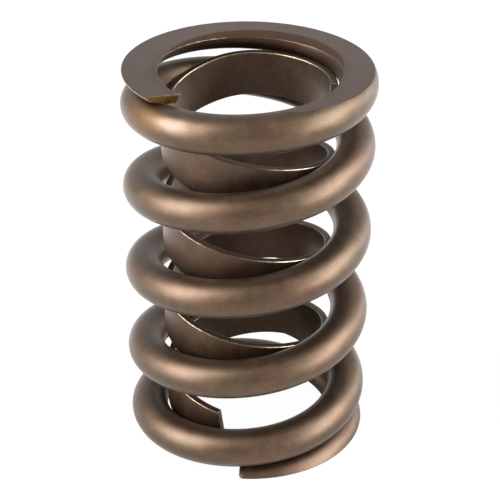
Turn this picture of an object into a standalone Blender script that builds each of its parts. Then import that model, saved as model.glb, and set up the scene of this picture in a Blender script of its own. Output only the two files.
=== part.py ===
# Engine valve spring: a round-wire compression spring with closed and ground ends,
# and inside it a flat-strip damper wound the other way.
#
# Lengths are in metres and +Z is up. The origin is the centre of the lower ground face.

import math

import bmesh
import bpy
from mathutils import Vector

# Driving dimensions of the outer spring
FREE_LENGTH = 0.0514
COIL_OUTER_DIAMETER = 0.0320
WIRE_DIAMETER = 0.0049
COIL_TURNS = 5.871
COIL_START_DEG = -93.5
TIP_THICKNESS = 0.0010
END_CONTACT_GAP = 0.00014
UPPER_FACE_SKEW_DEG = 20.0

# The inner edge of each ground face is relieved by a shallow cone, deepest this far along
# the wire from the tip, where the relief reaches across to the relief radius and more
RELIEF_RADIUS = 0.0113
RELIEF_OFFSET = 0.0016
RELIEF_FROM_TIP_DEG = 147.0
RELIEF_SLOPE_DEG = 11.0

# Each end starts with closed turns, and its pitch then opens up over some more turns
BOTTOM_CLOSED_TURNS = 0.11
BOTTOM_OPENING_TURNS = 1.63
TOP_CLOSED_TURNS = 0.70
TOP_OPENING_TURNS = 0.83

# The lowest turn is wound smaller by this radius and lies off to +X by as much. Above the
# first height that fades out, and above the second it is gone.
LOW_TURN_TUCK = 0.00013
TUCK_FADE_FROM = 0.003
TUCK_FADE_TO = 0.014

# Driving dimensions of the damper
DAMPER_CLEARANCE = 0.0001
STRIP_THICKNESS = 0.0010
STRIP_WIDTH = 0.0059
STRIP_CORNER_RADIUS = 0.00022
DAMPER_TURNS = 3.710
DAMPER_START_DEG = -107.6
DAMPER_TOP_DROP = 0.0017
DAMPER_BOTTOM_LIFT = 0.0008
DAMPER_LOWER_END_LEAN_DEG = 9.0

# The damper's top end lies nearly level, and its lowest turns are a little closer together
DAMPER_TOP_PITCH = 0.0015
DAMPER_LEVEL_TURNS = 0.23
DAMPER_BEND_TURNS = 0.12
DAMPER_BOTTOM_PITCH_SHARE = 0.90
DAMPER_CLOSING_TURNS = 1.5

# Fineness of the round shapes. No point of a helix lies nearer to its tip than TIP_ROOM
# steps, which leaves the skewed end faces clear of the next ring of points.
STEPS_PER_TURN = 40
TIP_ROOM = 0.6
WIRE_BEVEL_RESOLUTION = 4
CORNER_STEPS = 2

# How far the cutters reach beyond the spring, and how many sides the round ones have
CUTTER_MARGIN = 0.004
RELIEF_SIDES = 80

# How near the points of a cap lie to the tube's, and how near an end face's lie to one plane
WELD_DISTANCE = 0.000002
FACE_DISTANCE = 0.00002
SHARP_ANGLE_DEG = 40.0

# Sizes that follow from those above
WIRE_RADIUS = WIRE_DIAMETER / 2
COIL_RADIUS = COIL_OUTER_DIAMETER / 2 - WIRE_RADIUS
COIL_INNER_RADIUS = COIL_OUTER_DIAMETER / 2 - WIRE_DIAMETER
STRIP_RADIUS = COIL_INNER_RADIUS - DAMPER_CLEARANCE - STRIP_THICKNESS / 2


def clear_scene():
    for obj in list(bpy.data.objects):
        bpy.data.objects.remove(obj, do_unlink=True)


def new_collection(name):
    collection = bpy.data.collections.new(name)
    bpy.context.scene.collection.children.link(collection)
    return collection


def steel(name, colour, roughness):
    material = bpy.data.materials.new(name)
    material.use_nodes = True
    shader = material.node_tree.nodes["Principled BSDF"]
    shader.inputs["Base Color"].default_value = (*colour, 1.0)
    shader.inputs["Metallic"].default_value = 1.0
    shader.inputs["Roughness"].default_value = roughness
    material.diffuse_color = (*colour, 1.0)
    return material


def ease_area(share):
    """Area under a smooth step from 0 to 1, read up to this share of it or beyond it."""
    if share <= 0.0:
        return 0.0
    if share >= 1.0:
        return share - 0.5
    return share**3 - share**4 / 2


def lost_turns(turns, closed, opening):
    """How many turns' worth of pitch an end has held back this many turns in from its tip."""
    return turns - opening * ease_area((turns - closed) / opening)


def coil_heights():
    """The function that gives the height of the wire's centre at a number of turns from the lower tip.

    At both tips the wire is ground down to the tip's thickness, and one turn further in it
    lies on the end turn with the contact gap. The active pitch is what then fills the length.
    """
    bottom_end = (BOTTOM_CLOSED_TURNS, BOTTOM_OPENING_TURNS)
    top_end = (TOP_CLOSED_TURNS, TOP_OPENING_TURNS)
    contact_rise = WIRE_DIAMETER + END_CONTACT_GAP
    lost_at_bottom = lost_turns(COIL_TURNS, *bottom_end) / lost_turns(1.0, *bottom_end)
    lost_at_top = lost_turns(COIL_TURNS, *top_end) / lost_turns(1.0, *top_end)
    closed_turns = lost_at_bottom + lost_at_top
    rise = FREE_LENGTH - 2 * TIP_THICKNESS + WIRE_DIAMETER
    pitch = (rise - contact_rise * closed_turns) / (COIL_TURNS - closed_turns)
    start = TIP_THICKNESS - WIRE_RADIUS

    def height(turns):
        from_top = COIL_TURNS - turns
        bottom = lost_turns(turns, *bottom_end) / lost_turns(1.0, *bottom_end)
        top = lost_at_top - lost_turns(from_top, *top_end) / lost_turns(1.0, *top_end)
        return start + pitch * turns - (pitch - contact_rise) * (bottom + top)

    return height


def damper_heights():
    """The function that gives the height of the strip's middle at a number of turns from its lower end."""
    top_end = (DAMPER_LEVEL_TURNS, DAMPER_BEND_TURNS)
    bottom_end = (0.0, DAMPER_CLOSING_TURNS)
    lost_at_bottom = lost_turns(DAMPER_TURNS, *bottom_end)
    lost_at_top = lost_turns(DAMPER_TURNS, *top_end)
    rise = FREE_LENGTH - DAMPER_TOP_DROP - DAMPER_BOTTOM_LIFT - STRIP_WIDTH
    full_turns = DAMPER_TURNS - lost_at_bottom * (1.0 - DAMPER_BOTTOM_PITCH_SHARE) - lost_at_top
    pitch = (rise - DAMPER_TOP_PITCH * lost_at_top) / full_turns
    bottom_loss = pitch * (1.0 - DAMPER_BOTTOM_PITCH_SHARE)
    top_loss = pitch - DAMPER_TOP_PITCH
    start = DAMPER_BOTTOM_LIFT + STRIP_WIDTH / 2

    def height(turns):
        bottom = bottom_loss * lost_turns(turns, *bottom_end)
        top = top_loss * (lost_at_top - lost_turns(DAMPER_TURNS - turns, *top_end))
        return start + pitch * turns - bottom - top

    return height


def tuck_at(height):
    """How far the winding is drawn in at this height."""
    share = (height - TUCK_FADE_FROM) / (TUCK_FADE_TO - TUCK_FADE_FROM)
    share = min(max(share, 0.0), 1.0)
    return LOW_TURN_TUCK * (1.0 - share * share * (3.0 - 2.0 * share))


def helix_points(radius, turns, start_deg, direction, height_at, below=0.0):
    """Points along a helix from its lower tip up. Direction is +1 for anticlockwise from above.

    Between the tips they lie on whole steps of the circle, so that the widest points are on
    the X and Y axes and the damper's facets lie side by side with the coil's. The tuck is read
    this far below each point: a strip takes it at its lower edge, where it is greatest.
    """
    first = direction * start_deg / 360.0 * STEPS_PER_TURN
    last = first + turns * STEPS_PER_TURN
    steps = range(math.ceil(first + TIP_ROOM), math.floor(last - TIP_ROOM) + 1)
    stations = [0.0] + [(step - first) / STEPS_PER_TURN for step in steps] + [turns]
    points = []
    for turned in stations:
        angle = math.radians(start_deg) + direction * math.tau * turned
        height = height_at(turned)
        tuck = tuck_at(height - below)
        reach = radius - tuck
        points.append(Vector((tuck + reach * math.cos(angle), reach * math.sin(angle), height)))
    return points


def curve_through(name, points):
    """A curve through these points that keeps its section upright all the way along."""
    data = bpy.data.curves.new(name, "CURVE")
    data.dimensions = "3D"
    data.twist_mode = "Z_UP"
    data.use_fill_caps = True
    spline = data.splines.new("POLY")
    spline.points.add(len(points) - 1)
    for point, place in zip(spline.points, points):
        point.co = (*place, 1.0)
    return bpy.data.objects.new(name, data)


def strip_section(collection):
    """The damper strip's section as a flat closed curve: a rectangle with rounded corners."""
    data = bpy.data.curves.new("strip_section", "CURVE")
    data.dimensions = "2D"
    spline = data.splines.new("POLY")
    inset_x = STRIP_THICKNESS / 2 - STRIP_CORNER_RADIUS
    inset_y = STRIP_WIDTH / 2 - STRIP_CORNER_RADIUS
    corners = ((1, 1), (-1, 1), (-1, -1), (1, -1))
    spline.points.add(len(corners) * (CORNER_STEPS + 1) - 1)
    index = 0
    for quarter, (side_x, side_y) in enumerate(corners):
        for step in range(CORNER_STEPS + 1):
            angle = math.radians(90.0 * (quarter + step / CORNER_STEPS))
            x = side_x * inset_x + STRIP_CORNER_RADIUS * math.cos(angle)
            y = side_y * inset_y + STRIP_CORNER_RADIUS * math.sin(angle)
            spline.points[index].co = (x, y, 0.0, 1.0)
            index += 1
    spline.use_cyclic_u = True
    section = bpy.data.objects.new("strip_section", data)
    section.hide_render = True
    section.display_type = "WIRE"
    collection.objects.link(section)
    return section


def mesh_from_curve(curve, collection):
    """The curve's solid as a mesh object with its caps welded. The curve itself goes."""
    collection.objects.link(curve)
    name = curve.name
    graph = bpy.context.evaluated_depsgraph_get()
    mesh = bpy.data.meshes.new_from_object(curve.evaluated_get(graph))
    work = bmesh.new()
    work.from_mesh(mesh)
    bmesh.ops.remove_doubles(work, verts=work.verts, dist=WELD_DISTANCE)
    bmesh.ops.recalc_face_normals(work, faces=work.faces)
    work.to_mesh(mesh)
    work.free()
    solid = bpy.data.objects.new(name, mesh)
    solid.matrix_world = curve.matrix_world
    bpy.data.objects.remove(curve, do_unlink=True)
    solid.name = name
    collection.objects.link(solid)
    return solid


def slant_end(mesh, tip, neighbour, size, slant_deg, upright=False):
    """Turns a square-cut end by this angle, by sliding its points along the wire.

    The outer side slides outward along the wire, or the upper side where upright is set.
    """
    along = (tip - neighbour).normalized()
    across = Vector((tip.x, tip.y, 0.0)).normalized()
    if upright:
        across = Vector((0.0, 0.0, 1.0))
    slope = math.tan(math.radians(slant_deg))
    for vertex in mesh.vertices:
        offset = vertex.co - tip
        if offset.length < size and abs(offset.dot(along)) < FACE_DISTANCE:
            vertex.co += along * slope * offset.dot(across)


def grinding_cutter(name, low, high, collection):
    """A flat slab that takes away everything between two heights."""
    side = COIL_OUTER_DIAMETER + 2 * CUTTER_MARGIN
    mesh = bpy.data.meshes.new(name)
    work = bmesh.new()
    bmesh.ops.create_cube(work, size=1.0)
    bmesh.ops.scale(work, vec=(side, side, high - low), verts=work.verts)
    work.to_mesh(mesh)
    work.free()
    cutter = bpy.data.objects.new(name, mesh)
    cutter.location = (0.0, 0.0, (low + high) / 2)
    cutter.hide_render = True
    cutter.display_type = "WIRE"
    collection.objects.link(cutter)
    return cutter


def relief_cutter(name, face_height, upward, tip_deg, winding, collection):
    """A shallow cone that widens upward, or downward, out of one ground face.

    Winding is +1 where the wire runs anticlockwise from this tip. The cone starts inside
    the coil and ends beyond the ground face, where nothing is left to cut.
    """
    slope = math.tan(math.radians(RELIEF_SLOPE_DEG))
    inner_radius = COIL_INNER_RADIUS - RELIEF_OFFSET - CUTTER_MARGIN
    outer_radius = RELIEF_RADIUS + CUTTER_MARGIN
    depth = slope * (outer_radius - inner_radius)
    direction = math.radians(tip_deg + winding * RELIEF_FROM_TIP_DEG)
    mesh = bpy.data.meshes.new(name)
    work = bmesh.new()
    radii = (inner_radius, outer_radius) if upward else (outer_radius, inner_radius)
    sizes = dict(radius1=radii[0], radius2=radii[1], depth=depth, segments=RELIEF_SIDES)
    bmesh.ops.create_cone(work, cap_ends=True, cap_tris=False, **sizes)
    work.to_mesh(mesh)
    work.free()
    cutter = bpy.data.objects.new(name, mesh)
    middle = slope * (outer_radius - RELIEF_RADIUS) - depth / 2
    height = face_height + (middle if upward else -middle)
    x = RELIEF_OFFSET * math.cos(direction)
    y = RELIEF_OFFSET * math.sin(direction)
    cutter.location = (x, y, height)
    cutter.hide_render = True
    cutter.display_type = "WIRE"
    collection.objects.link(cutter)
    return cutter


def cut(target, cutter):
    modifier = target.modifiers.new(cutter.name, "BOOLEAN")
    modifier.operation = "DIFFERENCE"
    modifier.solver = "EXACT"
    modifier.object = cutter


def shade_round(mesh):
    mesh.shade_smooth()
    mesh.set_sharp_from_angle(angle=math.radians(SHARP_ANGLE_DEG))


def build_outer_spring(parts, cutters):
    points = helix_points(COIL_RADIUS, COIL_TURNS, COIL_START_DEG, 1, coil_heights())
    curve = curve_through("outer_spring", points)
    curve.data.bevel_depth = WIRE_RADIUS
    curve.data.bevel_resolution = WIRE_BEVEL_RESOLUTION
    spring = mesh_from_curve(curve, parts)
    slant_end(spring.data, points[-1], points[-2], WIRE_DIAMETER, -UPPER_FACE_SKEW_DEG)
    shade_round(spring.data)
    depth = WIRE_DIAMETER + CUTTER_MARGIN
    cut(spring, grinding_cutter("lower_grinding", -depth, 0.0, cutters))
    cut(spring, grinding_cutter("upper_grinding", FREE_LENGTH, FREE_LENGTH + depth, cutters))
    top_tip_deg = COIL_START_DEG + COIL_TURNS * 360.0
    cut(spring, relief_cutter("lower_relief", 0.0, False, COIL_START_DEG, 1, cutters))
    cut(spring, relief_cutter("upper_relief", FREE_LENGTH, True, top_tip_deg, -1, cutters))
    spring.data.materials.append(steel("spring_bronze_steel", (0.128, 0.088, 0.060), 0.40))
    return spring


def build_damper(parts, cutters):
    sizes = (STRIP_RADIUS, DAMPER_TURNS, DAMPER_START_DEG, -1)
    points = helix_points(*sizes, damper_heights(), below=STRIP_WIDTH / 2)
    curve = curve_through("damper", points)
    curve.data.bevel_mode = "OBJECT"
    curve.data.bevel_object = strip_section(cutters)
    damper = mesh_from_curve(curve, parts)
    lean = -DAMPER_LOWER_END_LEAN_DEG
    slant_end(damper.data, points[0], points[1], STRIP_WIDTH, lean, upright=True)
    shade_round(damper.data)
    damper.data.materials.append(steel("damper_bronze_steel", (0.115, 0.080, 0.055), 0.42))
    return damper


def main():
    clear_scene()
    parts = new_collection("valve_spring")
    cutters = new_collection("cutters")
    centre = bpy.data.objects.new("valve_spring_centre", None)
    centre.empty_display_size = COIL_OUTER_DIAMETER
    parts.objects.link(centre)
    for piece in (build_outer_spring(parts, cutters), build_damper(parts, cutters)):
        piece.parent = centre


main()
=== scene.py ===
import math

import bpy
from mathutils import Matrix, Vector
from mathutils.geometry import intersect_point_line


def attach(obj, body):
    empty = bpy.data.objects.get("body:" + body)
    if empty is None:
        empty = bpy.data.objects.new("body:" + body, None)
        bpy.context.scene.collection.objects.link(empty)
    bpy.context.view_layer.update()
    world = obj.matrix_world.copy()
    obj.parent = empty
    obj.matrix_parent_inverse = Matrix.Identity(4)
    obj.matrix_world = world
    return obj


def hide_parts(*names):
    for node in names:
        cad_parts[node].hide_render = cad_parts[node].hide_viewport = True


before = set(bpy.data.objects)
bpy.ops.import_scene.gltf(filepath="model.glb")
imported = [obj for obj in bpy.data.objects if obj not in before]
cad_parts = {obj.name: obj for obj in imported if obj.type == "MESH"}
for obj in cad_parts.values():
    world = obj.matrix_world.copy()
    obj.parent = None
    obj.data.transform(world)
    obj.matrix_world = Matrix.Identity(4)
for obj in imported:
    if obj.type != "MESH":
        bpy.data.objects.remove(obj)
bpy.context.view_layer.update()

print("frame loaded:", len(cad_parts), "CAD nodes")


def selectOnly(obj):
    bpy.ops.object.select_all(action="DESELECT")
    obj.select_set(True)
    bpy.context.view_layer.objects.active = obj


def applyAll(obj):
    selectOnly(obj)
    for modifier in list(obj.modifiers):
        bpy.ops.object.modifier_apply(modifier=modifier.name)


# Adds another piece to this one (UNION) or cuts it away (DIFFERENCE). The other piece is used up.
def combine(obj, other, operation):
    joiner = obj.modifiers.new("joiner", "BOOLEAN")
    joiner.operation = operation
    joiner.solver = "MANIFOLD"
    joiner.object = other
    applyAll(obj)
    bpy.data.objects.remove(other, do_unlink=True)


# Shades faces smooth where they meet at less than this angle, and keeps the flat ones flat
def shadeSmooth(obj, angleDeg):
    selectOnly(obj)
    bpy.ops.object.shade_smooth_by_angle(angle=math.radians(angleDeg), keep_sharp_edges=True)
    flats = obj.modifiers.new("flats", "WEIGHTED_NORMAL")
    flats.keep_sharp = True
    applyAll(obj)


# Goes into edit mode with these points selected, or with all of them
def editPoints(obj, points=None):
    selectOnly(obj)
    bpy.ops.object.mode_set(mode="EDIT")
    bpy.ops.mesh.select_mode(type="VERT")
    bpy.ops.mesh.select_all(action="SELECT" if points is None else "DESELECT")
    if points is not None:
        bpy.ops.object.mode_set(mode="OBJECT")
        for index in points:
            obj.data.vertices[index].select = True
        bpy.ops.object.mode_set(mode="EDIT")


# Goes into edit mode with these edges selected, each given as its pair of points
def editEdges(obj, keys):
    selectOnly(obj)
    bpy.ops.object.mode_set(mode="EDIT")
    bpy.ops.mesh.select_mode(type="EDGE")
    bpy.ops.mesh.select_all(action="DESELECT")
    bpy.ops.object.mode_set(mode="OBJECT")
    for edge in obj.data.edges:
        edge.select = edge.key in keys
    bpy.ops.object.mode_set(mode="EDIT")


def capRing(obj, points):
    editPoints(obj, points)
    bpy.ops.mesh.edge_face_add()
    bpy.ops.object.mode_set(mode="OBJECT")


# Cuts off what lies beyond a plane and fills the cut. points limits it to some of the mesh.
def trim(obj, place, normal, points=None):
    editPoints(obj, points)
    bpy.ops.mesh.bisect(plane_co=place, plane_no=normal, clear_outer=True, threshold=1e-7)
    bpy.ops.mesh.edge_face_add()
    bpy.ops.object.mode_set(mode="OBJECT")


# Closes seams and turns all faces outwards
def tidyShell(obj):
    editPoints(obj)
    bpy.ops.mesh.remove_doubles(threshold=1e-6)
    bpy.ops.mesh.normals_make_consistent(inside=False)
    bpy.ops.object.mode_set(mode="OBJECT")


# Takes out points where only two edges meet
def dropIdlePoints(obj):
    meets = [0] * len(obj.data.vertices)
    for edge in obj.data.edges:
        for index in edge.vertices:
            meets[index] += 1
    idle = [index for index, count in enumerate(meets) if count == 2]
    editPoints(obj, idle)
    bpy.ops.mesh.dissolve_verts()
    bpy.ops.object.mode_set(mode="OBJECT")
    print("idle points dropped:", len(idle))


def evenSteps(first, last, perTurn):
    steps = round((last - first) * perTurn)
    return [first + (last - first) * step / steps for step in range(steps + 1)]


tuck = {"depth": 0.00013, "fadeFrom": 0.003, "fadeTo": 0.014}


# The lowest turn is wound a little smaller and lies off to +X. Higher up that fades out.
def tuckAt(height):
    share = (height - tuck["fadeFrom"]) / (tuck["fadeTo"] - tuck["fadeFrom"])
    share = min(max(share, 0), 1)
    return tuck["depth"] * (1 - share * share * (3 - 2 * share))


# A place on a helix. A station counts turns from its start, and winding is 1 anticlockwise from
# above, -1 clockwise. The tuck is read this far below the place: for a strip, at its lower edge.
def helixPoint(radius, startDeg, winding, heightAt, below, station):
    angle = math.radians(startDeg) + winding * math.tau * station
    height = heightAt(station)
    inward = tuckAt(height - below)
    reach = radius - inward
    return Vector((inward + reach * math.cos(angle), reach * math.sin(angle), height))


# A curve of straight pieces from place to place
def polyCurve(name, places, dimensions, closed=False):
    data = bpy.data.curves.new(name, "CURVE")
    data.dimensions = dimensions
    spline = data.splines.new("POLY")
    spline.points.add(len(places) - 1)
    for point, place in zip(spline.points, places):
        point.co = (*place, 1)
    spline.use_cyclic_u = closed
    curve = bpy.data.objects.new(name, data)
    bpy.context.scene.collection.objects.link(curve)
    return curve


# A curve along a helix, whose section stays upright
def helixCurve(name, helix, stations):
    curve = polyCurve(name, [helixPoint(*helix, station) for station in stations], "3D")
    curve.data.twist_mode = "Z_UP"
    return curve


def toMesh(curve):
    selectOnly(curve)
    bpy.ops.object.convert(target="MESH")
    return bpy.context.object


# Cuts a swept helix square at one end, with the points there given. inward is 1 or -1, the way
# back along it. A lean tips the cut's upper side along the helix, a skew its outer side.
def trimEnd(obj, helix, station, inward, points, leanDeg=0, skewDeg=0):
    tip = helixPoint(*helix, station)
    along = tip - helixPoint(*helix, station + inward * 0.01)    # over a hundredth of a turn
    along.z = 0.0
    normal = along.normalized()
    normal += Vector((tip.x, tip.y, 0)).normalized() * math.tan(math.radians(skewDeg))
    normal += Vector((0, 0, math.tan(math.radians(leanDeg))))
    trim(obj, tip, normal.normalized(), points)


# The area under a smooth step from 0 to 1, up to this share of the step's width
def easeArea(share):
    if share <= 0:
        return 0
    if share >= 1:
        return share - 0.5
    return share**3 - share**4 / 2


# How many turns' worth of pitch an end has held back, this many turns in from its tip
def lostTurns(turns, closed, opening):
    return turns - opening * easeArea((turns - closed) / opening)


# Wraps a socket so that shader maths reads as an expression
class Wire:
    def __init__(self, board, socket):
        self.board = board
        self.socket = socket

    def maths(self, operation, *values):
        node = self.board.add("ShaderNodeMath", {"operation": operation}, dict(enumerate(values)))
        return Wire(self.board, node.outputs[0])

    def __add__(self, other):
        return self.maths("ADD", self, other)

    def __radd__(self, other):
        return self.maths("ADD", other, self)

    def __sub__(self, other):
        return self.maths("SUBTRACT", self, other)

    def __rsub__(self, other):
        return self.maths("SUBTRACT", other, self)

    def __mul__(self, other):
        return self.maths("MULTIPLY", self, other)

    def __rmul__(self, other):
        return self.maths("MULTIPLY", other, self)


# One material's node tree, with a method for any node and a few shortcuts on top
class Board:
    def __init__(self, name):
        self.material = bpy.data.materials.new(name)
        self.material.use_nodes = True
        self.tree = self.material.node_tree
        self.shader = self.tree.nodes["Principled BSDF"]

    def add(self, kind, settings=None, inputs=None):
        node = self.tree.nodes.new(kind)
        for key, value in (settings or {}).items():
            if key == "stops":
                for element, (position, level) in zip(node.color_ramp.elements, value):
                    element.position = position
                    element.color = (level, level, level, 1)
            else:
                setattr(node, key, value)
        for key, value in (inputs or {}).items():
            self.put(node.inputs[key], value)
        return node

    def put(self, socket, value):
        if isinstance(value, Wire):
            self.tree.links.new(value.socket, socket)
        else:
            socket.default_value = value

    def out(self, node, name=0):
        return Wire(self, node.outputs[name])

    # Sets the shader's own sockets and gives back the material
    def surface(self, inputs):
        for key, value in inputs.items():
            self.put(self.shader.inputs[key], value)
        return self.material

    def place(self):
        return self.out(self.add("ShaderNodeTexCoord"), "Object")

    def noise(self, vector, scale, detail, roughness):
        inputs = {"Vector": vector, "Scale": scale, "Detail": detail, "Roughness": roughness}
        return self.out(self.add("ShaderNodeTexNoise", None, inputs), "Fac")

    # 1 at a middle, down to 0 at its reach
    def nearness(self, place, middle, reach):
        node = self.add("ShaderNodeVectorMath", {"operation": "DISTANCE"}, {0: place, 1: middle})
        return 1 - self.out(node, "Value") * (1 / reach)

    # 0 where the value is at nothing, and most where it is at full
    def fade(self, value, nothing, full, most=1.0):
        stops = sorted(((nothing, 0.0), (full, most)))
        return self.out(self.add("ShaderNodeValToRGB", {"stops": stops}, {"Fac": value}), "Color")

    # A spot of wear, with its edge made ragged by clouds
    def spot(self, place, clouds, settings):
        near = self.nearness(place, settings["middle"], settings["reach"])
        near = near + (clouds - 0.5) * settings["ragged"]
        return self.fade(near, 0.0, settings["full"], settings["most"])

    def blend(self, share, first, second):
        settings = {"data_type": "RGBA", "blend_type": "MIX"}
        return self.out(self.add("ShaderNodeMix", settings, {0: share, 6: first, 7: second}), 2)

    def bump(self, height, strength, distance):
        inputs = {"Height": height, "Strength": strength, "Distance": distance}
        return self.out(self.add("ShaderNodeBump", None, inputs), "Normal")


def rgba(colour):
    return (*colour, 1.0)


# The coat is a brown bronze, with patches of a redder and an olive tone, pale clouds and dark
# specks. A fade gives the noise level where its tone begins and the one where it is full. The
# grinding of the upper tip has heated one spot, and one beside it is rubbed to a shine. The lower
# tip is darkened to the deep tone as painted shade, and dulled.
coat = {
    "base": (0.058, 0.034, 0.020),
    "warm": (0.066, 0.034, 0.021),
    "olive": (0.054, 0.036, 0.0185),
    "pale": (0.087, 0.060, 0.041),
    "deep": (0.032, 0.018, 0.010),
    "heated": (0.084, 0.044, 0.018),
    "warmFade": (0.48, 0.66),
    "oliveFade": (0.50, 0.34),
    "paleFade": (0.38, 0.70),
    "deepFade": (0.52, 0.30),
    "paleShare": 0.50,
    "deepShare": 0.70,
    "heatedSpot": {"middle": (-0.0129, -0.0091, 0.0487), "reach": 0.0055, "ragged": 0.6,
                   "full": 0.7, "most": 0.8},
    "polishedSpot": {"middle": (-0.0090, -0.0122, 0.0499), "reach": 0.0029, "ragged": 0.4,
                     "full": 0.6, "most": 1.0},
    # painted shade: the lower tip, which stands in shadow, is darkened here
    "paintedShadeSpot": {"middle": (-0.0010, -0.0135, 0.0008), "reach": 0.0024, "ragged": 0.0,
                  "full": 0.6, "most": 0.85},
    "roughness": 0.40,           # before what the next four add to it
    "mottleRoughness": 0.10,
    "grainRoughness": 0.06,
    "polishRoughness": -0.11,
    "paintedShadeRoughness": 0.40,
    "sheen": 0.22,               # weight of the thin oily film on top
    "polishSheen": 0.20,
    "sheenRoughness": 0.36,
    "patchScale": 190.0,         # about 5 mm from patch to patch
    "mottleScale": 620.0,        # about 1.6 mm from cloud to cloud
    "grainScale": 6500.0,        # about 0.15 mm from grain to grain
    "pitScale": 2015.0,          # about 0.5 mm from pit to pit
    "grainHeight": 0.6,
    "pitHeight": 0.4,
    "bumpStrength": 0.6,
    "bumpDepth": 0.000012,
}


def bronzeCoat(name, settings, tone=1.0, edgeTint=(1, 1, 1)):
    board = Board(name)
    place = board.place()
    mottle = board.noise(place, settings["mottleScale"], 4.0, 0.55)
    grain = board.noise(place, settings["grainScale"], 2.0, 0.6)
    pits = board.noise(place, settings["pitScale"], 3.0, 0.65)
    patches = board.noise(place, settings["patchScale"], 2.0, 0.5)
    base, warm, olive, pale, deep = [rgba([level * tone for level in settings[key]])
                                     for key in ("base", "warm", "olive", "pale", "deep")]
    heat = board.spot(place, mottle, settings["heatedSpot"])
    polish = board.spot(place, mottle, settings["polishedSpot"])
    # painted shade at the lower tip
    paintedShade = board.spot(place, mottle, settings["paintedShadeSpot"])
    colour = board.blend(board.fade(patches, *settings["warmFade"]), base, warm)
    colour = board.blend(board.fade(patches, *settings["oliveFade"]), colour, olive)
    colour = board.blend(board.fade(mottle, *settings["paleFade"]) * settings["paleShare"], colour, pale)
    colour = board.blend(board.fade(grain, *settings["deepFade"]) * settings["deepShare"], colour, deep)
    colour = board.blend(heat, colour, rgba(settings["heated"]))
    # the painted shade darkens the lower tip to the deep tone
    colour = board.blend(paintedShade, colour, deep)
    height = grain * settings["grainHeight"] + pits * settings["pitHeight"]
    return board.surface({
        "Base Color": colour,
        "Metallic": 1.0,
        "Specular Tint": rgba(edgeTint),
        "Roughness": (settings["roughness"] + settings["mottleRoughness"] * mottle
                      + settings["grainRoughness"] * grain + settings["polishRoughness"] * polish
                      + settings["paintedShadeRoughness"] * paintedShade),
        "Coat Weight": settings["sheen"] * tone * (1 - paintedShade) + settings["polishSheen"] * polish,
        "Coat Roughness": settings["sheenRoughness"],
        "Normal": board.bump(height, settings["bumpStrength"], settings["bumpDepth"]),
    })


ground = {
    "base": (0.084, 0.055, 0.046),
    "streak": (0.108, 0.073, 0.062),
    "browned": (0.064, 0.038, 0.028),
    "streakScale": 2600.0,
    "streakStretch": (1.0, 0.06, 1.0),
    "streakShare": 0.5,
    "cloudScale": 240.0,
    "cloudFade": (0.40, 0.66),
    "cloudShare": 0.45,
    "brownWithin": 0.0129,       # the faces are browner nearer the axis
    "brownFull": 0.10,
    "brownShare": 0.55,
    "roughness": 0.34,
    "streakRoughness": 0.10,
    "bumpStrength": 0.25,
    "bumpDepth": 0.000006,
}


# A ground end face, with the streaks that lapping leaves
def groundFace(name, settings):
    board = Board(name)
    place = board.place()
    stretch = {"Vector": place, "Scale": settings["streakStretch"]}
    along = board.out(board.add("ShaderNodeMapping", None, stretch))
    streaks = board.noise(along, settings["streakScale"], 3.0, 0.6)
    clouds = board.fade(board.noise(place, settings["cloudScale"], 4.0, 0.55), *settings["cloudFade"])
    flat = board.out(board.add("ShaderNodeVectorMath", {"operation": "MULTIPLY"}, {0: place, 1: (1, 1, 0)}))
    inner = board.fade(board.nearness(flat, (0, 0, 0), settings["brownWithin"]), 0.0, settings["brownFull"])
    base, streak, browned = [rgba(settings[key]) for key in ("base", "streak", "browned")]
    browning = clouds * settings["cloudShare"] + inner * settings["brownShare"]
    colour = board.blend(streaks * settings["streakShare"], base, streak)
    return board.surface({
        "Base Color": board.blend(browning, colour, browned),
        "Metallic": 1.0,
        "Roughness": settings["roughness"] + settings["streakRoughness"] * streaks,
        "Normal": board.bump(streaks, settings["bumpStrength"], settings["bumpDepth"]),
    })


# The upper end face, tinted straw and brown by the heat of grinding
straw = {
    "base": (0.18, 0.110, 0.028),
    "other": (0.055, 0.028, 0.013),
    "cloudScale": 900.0,
    "cloudFade": (0.35, 0.65),
    "grainScale": 5200.0,
    "roughness": 0.28,
    "grainRoughness": 0.12,
    "bumpStrength": 0.4,
    "bumpDepth": 0.00002,
}

# Edges where the coat has worn off or was ground away, in a lighter metal that is partly a painted
# highlight along them
wornAndHighlight = {
    "base": (0.30, 0.245, 0.18),
    "other": (0.12, 0.09, 0.065),
    "cloudScale": 1500.0,
    "cloudFade": (0.40, 0.62),
    "grainScale": 7000.0,
    "roughness": 0.27,
    "grainRoughness": 0.12,
    "bumpStrength": 0.3,
    "bumpDepth": 0.00001,
}


# Bare metal in two tones, with a fine grain
def bareMetal(name, settings):
    board = Board(name)
    place = board.place()
    clouds = board.fade(board.noise(place, settings["cloudScale"], 3.0, 0.6), *settings["cloudFade"])
    grain = board.noise(place, settings["grainScale"], 2.0, 0.6)
    return board.surface({
        "Base Color": board.blend(clouds, rgba(settings["base"]), rgba(settings["other"])),
        "Metallic": 1.0,
        "Roughness": settings["roughness"] + settings["grainRoughness"] * grain,
        "Normal": board.bump(grain, settings["bumpStrength"], settings["bumpDepth"]),
    })


coilCoat = bronzeCoat("coilBronze", coat)
reliefCoat = bronzeCoat("reliefBronze", coat, tone=0.68, edgeTint=(1.0, 0.80, 0.68))
stripCoat = bronzeCoat("stripBronze", coat, tone=0.92)
groundBronze = groundFace("groundBronze", ground)
strawEnd = bareMetal("strawTintedEnd", straw)
# worn metal and painted highlight: a lighter metal along the edges where highlights fall
wornHighlightEdge = bareMetal("wornEdgeWithHighlight", wornAndHighlight)
print("finishes made")

# The outer spring's finishes, and the number of each on its faces
coilFinishes = (coilCoat, groundBronze, strawEnd, wornHighlightEdge, reliefCoat)
coated, flatGround, strawTinted, wornAndHighlit, relieved = range(len(coilFinishes))


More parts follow.
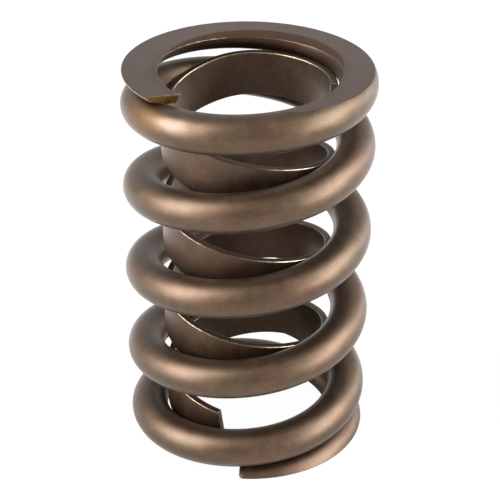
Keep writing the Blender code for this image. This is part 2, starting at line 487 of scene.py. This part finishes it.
# The outer spring: round wire with closed and ground ends. An end's first number is the turns
# that lie closed, its second the turns over which the pitch opens.
spring = {
    "freeLength": 0.0514,
    "outerDiameter": 0.0320,
    "wireDiameter": 0.0049,
    "turns": 5.871,
    "startDeg": -93.5,           # where the lower tip is, from +X
    "bottomEnd": (0.11, 1.63),
    "topEnd": (0.70, 0.83),
    "contactGap": 0.00014,
    "tipThickness": 0.0010,
    "upperSkewDeg": 20.0,
    "noseRadius": 0.00055,       # the lower cut end is rounded
    "noseSteps": 7,
    "stepsPerTurn": 150,
    "wireSides": 40,
    "overrun": 0.03,             # turns wound beyond the upper cut
    "overrunRings": 10,          # rings near that end, for the cut to work on
    "reliefRadius": 0.0113,
    "reliefOffset": 0.0016,
    "reliefFromTipDeg": 147.0,
    "reliefSlopeDeg": 11.0,
    "coneBeyond": 0.004,         # the relief's cutter reaches this far outside its edge
    "coneWithin": 0.006,         # and this far inside it
    "coneSides": 360,
    "flatError": 0.00001,        # a face this near the ground plane belongs to it
    "coneError": 0.000004,       # and one this near the relief, and tilted like it, to that
    "tiltError": 0.001,
    "endFaceArea": 1.2e-6,       # above this, a face near the top is the wire's end face
    "rimWidth": 0.00007,
    "burrWidth": 0.00016,
    "burrReachDeg": 50.0,
    "burrBelow": 0.0015,         # the burr is no further down than this
    "burrOutside": 0.0003,       # and at least this far outside the wire's middle
    "clearing": 1.2,             # rim widths that are cleared beside a border
    "roomShare": 0.9,            # how much of the room beside an edge its rim may take
    "softDeg": 32.0,             # borders flatter than this get no rim
    "reliefSoftDeg": 14.0,       # or than this at the relief
    # painted highlight: the relief's rim keeps the lighter metal only above this height, inside this radius
    # and between these turns
    "highlightAbove": 0.002,
    "highlightWithin": 0.0121,      # the relief's rim is worn bright inside this radius
    "highlightFromDeg": 106.0,      # and between these turns
    "highlightToDeg": 172.0,
    "lipInside": 0.00025,        # the lip's reach from the end face's inner corner
    "lipOutside": 0.00188,
    "lipBehind": 0.00030,
    "lipAhead": 0.00030,
    "lipHeight": 0.00114,
    "lipFoot": 0.00030,
    "lipEdge": 0.00010,
    "lipDrop": 0.00001,          # its top stays this far under the ground plane
    "smoothDeg": 24.0,
}


# The height of the wire's middle at each station
def springHeights(settings):
    contactRise = settings["wireDiameter"] + settings["contactGap"]
    turns = settings["turns"]
    bottomOne = lostTurns(1, *settings["bottomEnd"])
    topOne = lostTurns(1, *settings["topEnd"])
    lostBelow = lostTurns(turns, *settings["bottomEnd"]) / bottomOne
    lostAbove = lostTurns(turns, *settings["topEnd"]) / topOne
    rise = settings["freeLength"] - 2 * settings["tipThickness"] + settings["wireDiameter"]
    pitch = (rise - contactRise * (lostBelow + lostAbove)) / (turns - lostBelow - lostAbove)
    start = settings["tipThickness"] - settings["wireDiameter"] / 2

    def heightAt(station):
        below = lostTurns(station, *settings["bottomEnd"]) / bottomOne
        above = lostAbove - lostTurns(turns - station, *settings["topEnd"]) / topOne
        return start + pitch * station - (pitch - contactRise) * (below + above)

    return heightAt


def upperTipDeg(settings):
    return settings["startDeg"] + 360 * settings["turns"]


def degFromUpperTip(place, settings):
    tipTurn = math.radians(upperTipDeg(settings))
    return math.degrees(place.xy.angle(Vector((math.cos(tipTurn), math.sin(tipTurn)))))


# The middle of an end's relief, which is set off to one side
def reliefAxis(settings, upper):
    tipDeg = upperTipDeg(settings) if upper else settings["startDeg"]
    winding = -1 if upper else 1
    direction = math.radians(tipDeg + winding * settings["reliefFromTipDeg"])
    return Vector((math.cos(direction), math.sin(direction))) * settings["reliefOffset"]


# A shallow cone that relieves the inner edge of a ground face
def reliefCone(settings, upper):
    slope = math.tan(math.radians(settings["reliefSlopeDeg"]))
    outer = settings["reliefRadius"] + settings["coneBeyond"]
    inner = settings["reliefRadius"] - settings["coneWithin"]
    depth = slope * (outer - inner)
    middle = slope * (outer - settings["reliefRadius"]) - depth / 2
    height = settings["freeLength"] + middle if upper else -middle
    bpy.ops.object.select_all(action="DESELECT")
    bpy.ops.mesh.primitive_cone_add(vertices=settings["coneSides"], radius1=inner if upper else outer,
                                    radius2=outer if upper else inner, depth=depth,
                                    location=(*reliefAxis(settings, upper), height))
    return bpy.context.object


def makeSpring(settings):
    radius = settings["wireDiameter"] / 2
    middle = settings["outerDiameter"] / 2 - radius
    helix = (middle, settings["startDeg"], 1, springHeights(settings), 0)
    nose = settings["noseRadius"]
    noseAngles = [math.radians(90) * step / settings["noseSteps"] for step in range(settings["noseSteps"])]
    noseStations = [nose * (1 - math.cos(angle)) / (math.tau * middle) for angle in noseAngles]
    last = settings["turns"] + settings["overrun"]
    body = evenSteps(nose / (math.tau * middle), last, settings["stepsPerTurn"])
    curve = helixCurve("coilWire", helix, noseStations + body)
    for point, angle in zip(curve.data.splines[0].points, noseAngles):
        point.radius = 1 - nose * (1 - math.sin(angle)) / radius
    sides = settings["wireSides"]
    curve.data.bevel_depth = radius
    curve.data.bevel_resolution = sides // 2 - 2
    coil = toMesh(curve)
    total = len(coil.data.vertices)
    overrunPoints = range(total - settings["overrunRings"] * sides, total)
    trimEnd(coil, helix, settings["turns"], -1, overrunPoints, skewDeg=settings["upperSkewDeg"])
    capRing(coil, range(sides))
    print("coil wound and trimmed:", len(coil.data.vertices), "points")

    trim(coil, Vector((0, 0, 0)), Vector((0, 0, -1)))
    trim(coil, Vector((0, 0, settings["freeLength"])), Vector((0, 0, 1)))
    tidyShell(coil)
    for upper in (False, True):
        combine(coil, reliefCone(settings, upper), "DIFFERENCE")
    print("ends ground and relieved")
    return coil


# The ground faces, their reliefs and the wire's upper end face get their own finishes
def paintSpring(coil, settings):
    coil.data.materials.clear()
    for material in coilFinishes:
        coil.data.materials.append(material)
    slope = math.radians(settings["reliefSlopeDeg"])
    for face in coil.data.polygons:
        upper = face.center.z > settings["freeLength"] / 2
        depth = settings["freeLength"] - face.center.z if upper else face.center.z
        reach = (face.center.xy - reliefAxis(settings, upper)).length
        offCone = abs(depth - math.tan(slope) * (settings["reliefRadius"] - reach))
        offTilt = abs(abs(face.normal.z) - math.cos(slope))
        if abs(face.normal.z) > math.cos(slope / 2) and depth < settings["flatError"]:
            face.material_index = flatGround
        elif offCone < settings["coneError"] and offTilt < settings["tiltError"]:
            face.material_index = relieved
        elif upper and face.area > settings["endFaceArea"]:
            face.material_index = strawTinted
        else:
            face.material_index = coated


# How wide the rim is at a place on a border of these finishes: narrow, but for the burr at the
# outside of the upper tip
def rimAt(place, finishes, settings):
    offDeg = degFromUpperTip(place, settings)
    middle = (settings["outerDiameter"] - settings["wireDiameter"]) / 2
    outside = place.xy.length > middle + settings["burrOutside"] or strawTinted in finishes
    high = place.z > settings["freeLength"] - settings["burrBelow"]
    if high and outside and offDeg < settings["burrReachDeg"]:
        share = 1 - offDeg / settings["burrReachDeg"]
        return settings["rimWidth"] + (settings["burrWidth"] - settings["rimWidth"]) * share
    return settings["rimWidth"]


# The edges where two finishes meet, with the two faces of each, and the finishes at each point
def findBorders(coil):
    neighbours = {}
    finishes = {}
    for face in coil.data.polygons:
        for key in face.edge_keys:
            neighbours.setdefault(key, []).append(face)
        for index in face.vertices:
            finishes.setdefault(index, set()).add(face.material_index)
    borders = {key: faces for key, faces in neighbours.items()
               if faces[0].material_index != faces[1].material_index}
    return borders, finishes


# Which points to pull onto which. Those too close to a border edge, or to the first half length
# past its ends, go to its nearer end, and one end of a very short border edge goes to the other.
def findPulls(coil, settings):
    pulls = {}
    borders, finishes = findBorders(coil)
    points = coil.data.vertices
    for key, faces in borders.items():
        start, end = [points[index].co for index in key]
        reach = settings["clearing"] * rimAt(start, finishes[key[0]], settings)
        for index in {*faces[0].vertices, *faces[1].vertices}:
            if len(finishes[index]) == 1:
                nearest, share = intersect_point_line(points[index].co, start, end)
                if (points[index].co - nearest).length < reach and -0.5 < share < 1.5:
                    pulls[index] = key[0] if share < 0.5 else key[1]
        kept, pulled = sorted(key, key=lambda index: -len(finishes[index]))
        settled = {*pulls.keys(), *pulls.values()}
        if (end - start).length < reach and not settled & {kept, pulled}:
            pulls[pulled] = kept
    return pulls


# Clears room beside the borders for their bevels. Coat that is left between points of a border is
# then dissolved into its neighbours.
def clearSlivers(coil, settings):
    pulling = True
    while pulling:
        pulls = findPulls(coil, settings)
        points = coil.data.vertices
        for index, target in pulls.items():
            points[index].co = points[target].co
        tidyShell(coil)
        pulling = bool(pulls)
    borders, finishes = findBorders(coil)
    slivers = [face for face in coil.data.polygons if face.material_index == coated
               and all(len(finishes[index]) > 1 for index in face.vertices)]
    editEdges(coil, {key for face in slivers for key in face.edge_keys} - set(borders))
    bpy.ops.mesh.dissolve_edges(use_verts=False)
    bpy.ops.object.mode_set(mode="OBJECT")
    print("slivers cleared:", len(slivers))


# How wide a bevel can be on each border edge before it meets the next edge on either face
def roomBeside(coil, borders):
    rooms = {}
    points = coil.data.vertices
    for key, faces in borders.items():
        start, end = [points[index].co for index in key]
        for loop in [list(face.vertices) for face in faces]:
            spots = [loop.index(index) for index in key]
            step = 1 if (spots[1] - spots[0]) % len(loop) == 1 else -1
            for spot, away in ((spots[0], -step), (spots[1], step)):
                other = loop[(spot + away) % len(loop)]
                if tuple(sorted((loop[spot], other))) not in borders:
                    nearest = intersect_point_line(points[other].co, start, end)[0]
                    room = (points[other].co - nearest).length
                    rooms[key] = min(room, rooms.get(key, room))
    return rooms


# Where two finishes meet, the edge stays crisp, but for the soft start of the relief, and a sharp
# one is marked for a bevel
def crispBorders(coil, settings):
    borders = {key: faces for key, faces in findBorders(coil)[0].items()
               if {face.material_index for face in faces} != {flatGround, relieved}}
    rooms = roomBeside(coil, borders)
    weights = coil.data.attributes.new("bevel_weight_edge", "FLOAT", "EDGE").data
    for edge in coil.data.edges:
        faces = borders.get(edge.key)
        if faces is None:
            continue
        pair = {face.material_index for face in faces}
        edge.use_edge_sharp = True
        limit = settings["reliefSoftDeg"] if relieved in pair else settings["softDeg"]
        if faces[0].normal.angle(faces[1].normal) > math.radians(limit):
            place = coil.data.vertices[edge.vertices[0]].co
            room = settings["roomShare"] * rooms.get(edge.key, 1)
            width = min(rimAt(place, pair, settings), room)
            if pair == {flatGround, strawTinted}:
                width = min(width, settings["rimWidth"] / 3)    # hardly worn here
            weights[edge.index].value = width / settings["burrWidth"]


# Bevels the marked edges. Only the relief's rim, over a span of turns, and the burr at the upper tip
# keep the lighter worn metal, which is partly a painted highlight.
def makeRims(coil, settings):
    rim = coil.modifiers.new("rim", "BEVEL")
    rim.width = settings["burrWidth"]
    rim.segments = 2
    rim.limit_method = "WEIGHT"
    rim.use_clamp_overlap = False
    rim.material = wornAndHighlit
    applyAll(coil)
    for vertex in coil.data.vertices:    # the bevel leaves a few points a hair proud
        vertex.co.z = min(max(vertex.co.z, 0), settings["freeLength"])
    for face in coil.data.polygons:
        burr = degFromUpperTip(face.center, settings) < settings["burrReachDeg"]
        turnDeg = math.degrees(math.atan2(face.center.y, face.center.x))
        # painted highlight: over this span of turns the relief's rim keeps the lighter metal
        inner = (face.center.xy.length < settings["highlightWithin"]
                 and settings["highlightFromDeg"] < turnDeg < settings["highlightToDeg"])
        highlightKept = face.center.z >= settings["highlightAbove"] and (burr or inner)
        if face.material_index == wornAndHighlit and not highlightKept:
            face.material_index = coated


# The lip that is rolled over at the inside of the upper end face. across runs outwards in that
# face and ahead out of it.
def makeLip(settings):
    turn = math.radians(upperTipDeg(settings))
    skew = math.radians(settings["upperSkewDeg"])
    across = Vector((math.cos(turn - skew), math.sin(turn - skew), 0))
    ahead = Vector((-math.sin(turn - skew), math.cos(turn - skew), 0))
    radius = settings["wireDiameter"] / 2
    halfChord = math.sqrt(radius**2 - (radius - settings["tipThickness"])**2) / math.cos(skew)
    tip = Vector((math.cos(turn), math.sin(turn), 0)) * (settings["outerDiameter"] / 2 - radius)
    top = Vector((0, 0, settings["freeLength"] - settings["lipDrop"]))
    corner = tip - across * halfChord + top
    inside, outside, front = settings["lipInside"], settings["lipOutside"], settings["lipAhead"]
    size = Vector((inside + outside, settings["lipBehind"] + front, settings["lipHeight"]))
    middle = (corner + across * (outside - inside) / 2 + ahead * (front - settings["lipBehind"]) / 2
              - Vector((0, 0, size.z / 2)))
    bpy.ops.object.select_all(action="DESELECT")
    bpy.ops.mesh.primitive_cube_add(size=1, location=middle, rotation=(0, 0, turn - skew))
    lip = bpy.context.object
    lip.scale = size
    bpy.ops.object.transform_apply(location=True, rotation=True, scale=True)
    inner = corner - across * inside + ahead * front
    slant = across * -size.z - Vector((0, 0, inside + settings["lipFoot"]))
    trim(lip, inner, slant.normalized())    # its inner side slopes outwards on the way down
    trim(lip, inner, (across * front + ahead * size.x).normalized())    # and its front tapers away
    for material in coilFinishes:
        lip.data.materials.append(material)
    tidyShell(lip)
    for face in lip.data.polygons:
        face.material_index = flatGround if face.normal.z > 0.9 else strawTinted
    # the lip's edges take the lighter worn metal, partly a painted highlight
    edge = lip.modifiers.new("edge", "BEVEL")
    edge.width = settings["lipEdge"]
    edge.segments = 2
    edge.material = wornAndHighlit
    applyAll(lip)
    return lip


coilPiece = makeSpring(spring)
paintSpring(coilPiece, spring)
clearSlivers(coilPiece, spring)
crispBorders(coilPiece, spring)
makeRims(coilPiece, spring)
combine(coilPiece, makeLip(spring), "UNION")
dropIdlePoints(coilPiece)
shadeSmooth(coilPiece, spring["smoothDeg"])
coilPiece.name = "coilSpring"
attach(coilPiece, "root")
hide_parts("outer_spring")
print("outer spring made:", len(coilPiece.data.polygons), "faces")


# The damper: a flat strip wound the other way. The ends' numbers are as for the spring. Each lift
# has its place and width in turns and its height.
damper = {
    "outerRadius": 0.0110,
    "thickness": 0.0010,
    "width": 0.0059,
    "cornerRadius": 0.00022,
    "cornerSteps": 5,
    "turns": 3.710,
    "startDeg": -107.6,
    "topDrop": 0.0017,           # room above the strip's upper end and below its lower one
    "bottomLift": 0.0008,
    "lowerEndLeanDeg": 9.0,
    "topPitch": 0.0015,
    "topEnd": (0.23, 0.12),
    "bottomEnd": (0.0, 1.5),
    "bottomPitchShare": 0.90,
    "lifts": ((0.48, 0.16, 0.00034), (1.50, 0.13, 0.00018), (3.48, 0.09, 0.00013)),
    "stepsPerTurn": 150,
    "overrun": 0.05,             # turns wound beyond each cut
    "overrunRings": 16,
    "rimWidth": 0.00008,
    "rimAboveDeg": 50.0,
    # painted highlight: faces that look up this much get the lighter metal
    "wornHighlightFacing": (0.6, 0.8),    # faces that look up this much have worn bright
    "smoothDeg": 35.0,
}


# The strip climbs evenly, but levels off at its ends and rides up a little at the back
def damperHeights(settings, freeLength):
    turns = settings["turns"]
    lostBelow = lostTurns(turns, *settings["bottomEnd"])
    lostAbove = lostTurns(turns, *settings["topEnd"])
    rise = freeLength - settings["topDrop"] - settings["bottomLift"] - settings["width"]
    shareLost = 1 - settings["bottomPitchShare"]
    pitch = (rise - settings["topPitch"] * lostAbove) / (turns - lostBelow * shareLost - lostAbove)
    start = settings["bottomLift"] + settings["width"] / 2

    def heightAt(station):
        below = pitch * shareLost * lostTurns(station, *settings["bottomEnd"])
        above = lostAbove - lostTurns(turns - station, *settings["topEnd"])
        lift = sum(height * math.exp(-((station - middle) / width) ** 2)
                   for middle, width, height in settings["lifts"])
        return start + pitch * station - below - (pitch - settings["topPitch"]) * above + lift

    return heightAt


# The strip's section: a thin upright rectangle with rounded corners
def stripSection(settings):
    corner = settings["cornerRadius"]
    across = settings["thickness"] / 2 - corner
    up = settings["width"] / 2 - corner
    steps = settings["cornerSteps"]
    places = []
    for quarter, (sideX, sideY) in enumerate(((1, 1), (-1, 1), (-1, -1), (1, -1))):
        for step in range(steps + 1):
            angle = math.radians(90 * (quarter + step / steps))
            places.append((sideX * across + corner * math.cos(angle),
                           sideY * up + corner * math.sin(angle), 0))
    return polyCurve("stripSection", places, "2D", closed=True)


def makeDamper(settings, freeLength):
    middle = settings["outerRadius"] - settings["thickness"] / 2
    helix = (middle, settings["startDeg"], -1, damperHeights(settings, freeLength), settings["width"] / 2)
    turns, overrun = settings["turns"], settings["overrun"]
    stations = evenSteps(-overrun, turns + overrun, settings["stepsPerTurn"])
    curve = helixCurve("damperStrip", helix, stations)
    section = stripSection(settings)
    curve.data.bevel_mode = "OBJECT"
    curve.data.bevel_object = section
    strip = toMesh(curve)
    bpy.data.objects.remove(section, do_unlink=True)
    endPoints = 4 * (settings["cornerSteps"] + 1) * settings["overrunRings"]
    total = len(strip.data.vertices)
    trimEnd(strip, helix, turns, -1, range(total - endPoints, total))
    trimEnd(strip, helix, 0, 1, range(endPoints), leanDeg=settings["lowerEndLeanDeg"])
    tidyShell(strip)
    return strip


# The strip's coat, with its cut ends' edges and upper corners in lighter worn metal, partly a painted
# highlight
def paintDamper(strip, settings):
    strip.data.materials.clear()
    for material in (stripCoat, wornHighlightEdge):
        strip.data.materials.append(material)
    rim = strip.modifiers.new("rim", "BEVEL")
    rim.width = settings["rimWidth"]
    rim.segments = 2
    rim.limit_method = "ANGLE"
    rim.angle_limit = math.radians(settings["rimAboveDeg"])
    rim.material = 1
    applyAll(strip)
    # painted highlight: faces tilted this far up get the lighter metal along the upper corners
    least, most = settings["wornHighlightFacing"]
    for face in strip.data.polygons:
        if least < face.normal.z < most:
            face.material_index = 1


stripPiece = makeDamper(damper, spring["freeLength"])
paintDamper(stripPiece, damper)
shadeSmooth(stripPiece, damper["smoothDeg"])
stripPiece.name = "damperStrip"
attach(stripPiece, "root")
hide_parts("damper")
print("damper made:", len(stripPiece.data.polygons), "faces")


# White surroundings, lamps and camera
studio = {
    "floorSize": 3.0,
    "floorDrop": 0.00002,        # the spring stands a hair above the floor
    "floorColour": (0.66, 0.65, 0.64),
    "floorRoughness": 0.9,
    "whiteSeen": 0.97,           # how much of the floor the camera sees as plain white
    "whiteReflected": 0.20,      # and how much of it reflections do, the rest being its own shading
    "worldLevel": 1.0,
    "lampDistance": 0.6,
    "lampAim": (0, 0, 0.026),
}


# White to the camera and to reflections, with a share of the floor's own shading for the shadow
def whiteFloor(settings):
    board = Board("whiteFloor")
    tree = board.tree
    board.surface({
        "Base Color": rgba(settings["floorColour"]),
        "Roughness": settings["floorRoughness"],
        "Specular IOR Level": 0.0,
    })
    glow = board.add("ShaderNodeEmission", None, {"Color": rgba((1, 1, 1)), "Strength": 1.0})
    path = board.add("ShaderNodeLightPath")
    direct = board.out(path, "Is Camera Ray") + board.out(path, "Is Transmission Ray")
    white = direct * settings["whiteSeen"] + board.out(path, "Is Glossy Ray") * settings["whiteReflected"]
    mixer = board.add("ShaderNodeMixShader", None, {"Fac": white})
    tree.links.new(board.shader.outputs[0], mixer.inputs[1])
    tree.links.new(glow.outputs[0], mixer.inputs[2])
    tree.links.new(mixer.outputs[0], tree.nodes["Material Output"].inputs["Surface"])
    return board.material


bpy.ops.object.select_all(action="DESELECT")
bpy.ops.mesh.primitive_plane_add(size=studio["floorSize"], location=(0, 0, -studio["floorDrop"]))
floor = bpy.context.object
floor.name = "floor"
floor.data.materials.append(whiteFloor(studio))

world = bpy.data.worlds.new("softWhite")
bpy.context.scene.world = world
world.use_nodes = True
background = world.node_tree.nodes["Background"]
background.inputs["Color"].default_value = rgba((1, 1, 1))
background.inputs["Strength"].default_value = studio["worldLevel"]

# Softboxes stand at both sides, a high one and a low one each, and a weak one at the right back.
# Angles are read from the spring: 0 is to the right, -90 towards the camera.
lamps = {
    "leftHigh": {"azimuthDeg": -168, "elevationDeg": 37, "side": 0.40, "power": 9.2},
    "leftLow": {"azimuthDeg": -158, "elevationDeg": 12, "side": 0.36, "power": 4.8},
    "rightHigh": {"azimuthDeg": -2, "elevationDeg": 35, "side": 0.38, "power": 7.2},
    "rightLow": {"azimuthDeg": -22, "elevationDeg": 12, "side": 0.34, "power": 5.8},
    "rightBack": {"azimuthDeg": 30, "elevationDeg": 8, "side": 0.24, "power": 1.2},
}


def softbox(name, settings):
    data = bpy.data.lights.new(name, "AREA")
    data.size = settings["side"]
    data.energy = settings["power"]
    lamp = bpy.data.objects.new(name, data)
    turn = math.radians(settings["azimuthDeg"])
    rise = math.radians(settings["elevationDeg"])
    away = Vector((math.cos(rise) * math.cos(turn), math.cos(rise) * math.sin(turn), math.sin(rise)))
    lamp.location = Vector(studio["lampAim"]) + away * studio["lampDistance"]
    lamp.rotation_euler = away.to_track_quat("Z", "Y").to_euler()
    bpy.context.scene.collection.objects.link(lamp)


for name, settings in lamps.items():
    softbox(name, settings)
print("studio lit")

# The camera, at the photograph's angle
view = {
    "aim": (0.000315, 0.0, 0.02571),
    "elevationDeg": 29.47,
    "distance": 0.20066,
    "rollDeg": 0.58,
    "focal": 1529.1 / 500,       # in picture widths
    "sensorWidth": 36.0,
    "clipStart": 0.005,
}


def setCamera(settings):
    data = bpy.data.cameras.new("camera")
    data.sensor_width = settings["sensorWidth"]
    data.lens = settings["focal"] * data.sensor_width
    data.clip_start = settings["clipStart"]
    camera = bpy.data.objects.new("camera", data)
    rise = math.radians(settings["elevationDeg"])
    back = Vector((0, -math.cos(rise), math.sin(rise)))
    camera.location = Vector(settings["aim"]) + back * settings["distance"]
    camera.rotation_euler = back.to_track_quat("Z", "Y").to_euler()
    camera.rotation_euler.rotate_axis("Z", math.radians(settings["rollDeg"]))
    bpy.context.scene.collection.objects.link(camera)
    bpy.context.scene.camera = camera


setCamera(view)
bpy.context.scene.view_settings.view_transform = "Standard"
